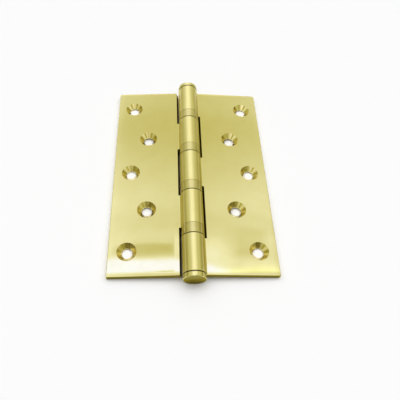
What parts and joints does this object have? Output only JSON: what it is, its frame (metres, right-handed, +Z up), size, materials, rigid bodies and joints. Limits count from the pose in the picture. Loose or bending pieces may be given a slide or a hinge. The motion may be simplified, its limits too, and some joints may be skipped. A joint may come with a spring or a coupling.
{
  "type": "butt hinge",
  "caption": "Brass butt hinge with flat leaves, staggered countersunk screw holes and interleaved knuckles that turn on a pin with ball bearings.",
  "frame": {"origin": "on the ground below the middle of the barrel, with the hinge lying open and its countersunk faces up", "axes": "+Y along the barrel towards the far tip, +X towards the leaf with the end knuckles, +Z up"},
  "size_m": [0.0886, 0.133, 0.012],
  "materials": {
    "leaf_brass": "satin polish",
    "turned_brass": "polished",
    "cage_brass": "plain",
    "pin_steel": "ground",
    "bearing_steel": "polished"
  },
  "bodies": {
    "fixed_leaf": {"right_leaf": "leaf_brass", "hinge_pin": "pin_steel", "far_tip": "turned_brass", "near_tip": "turned_brass", "bearing_1_casing": "turned_brass", "bearing_1_far_race": "bearing_steel", "bearing_2_casing": "turned_brass", "bearing_2_near_race": "bearing_steel", "bearing_3_casing": "turned_brass", "bearing_3_far_race": "bearing_steel", "bearing_4_casing": "turned_brass", "bearing_4_near_race": "bearing_steel"},
    "swinging_leaf": {"left_leaf": "leaf_brass", "bearing_1_near_race": "bearing_steel", "bearing_2_far_race": "bearing_steel", "bearing_3_near_race": "bearing_steel", "bearing_4_far_race": "bearing_steel"},
    "bearing_1_rolling_set": {"bearing_1_cage": "cage_brass", "bearing_1_balls": "bearing_steel"},
    "bearing_2_rolling_set": {"bearing_2_cage": "cage_brass", "bearing_2_balls": "bearing_steel"},
    "bearing_3_rolling_set": {"bearing_3_cage": "cage_brass", "bearing_3_balls": "bearing_steel"},
    "bearing_4_rolling_set": {"bearing_4_cage": "cage_brass", "bearing_4_balls": "bearing_steel"}
  },
  "joints": [
    {"name": "leaf_swing", "type": "hinge", "parent": "fixed_leaf", "child": "swinging_leaf", "pos_m": [0, 0, 0.006], "axis": [0, 1, 0], "range_deg": [-109.5, 185.72]},
    {"name": "bearing_1_roll", "type": "hinge", "parent": "fixed_leaf", "child": "bearing_1_rolling_set", "pos_m": [0, 0, 0.006], "axis": [0, 1, 0], "range_deg": [-55.25, 93.36]},
    {"name": "bearing_2_roll", "type": "hinge", "parent": "fixed_leaf", "child": "bearing_2_rolling_set", "pos_m": [0, 0, 0.006], "axis": [0, 1, 0], "range_deg": [-55.25, 93.36]},
    {"name": "bearing_3_roll", "type": "hinge", "parent": "fixed_leaf", "child": "bearing_3_rolling_set", "pos_m": [0, 0, 0.006], "axis": [0, 1, 0], "range_deg": [-55.25, 93.36]},
    {"name": "bearing_4_roll", "type": "hinge", "parent": "fixed_leaf", "child": "bearing_4_rolling_set", "pos_m": [0, 0, 0.006], "axis": [0, 1, 0], "range_deg": [-55.25, 93.36]}
  ],
  "couplings": [
    {"joint": "bearing_1_roll", "follows": "leaf_swing", "ratio": 0.5},
    {"joint": "bearing_2_roll", "follows": "leaf_swing", "ratio": 0.5},
    {"joint": "bearing_3_roll", "follows": "leaf_swing", "ratio": 0.5},
    {"joint": "bearing_4_roll", "follows": "leaf_swing", "ratio": 0.5}
  ]
}
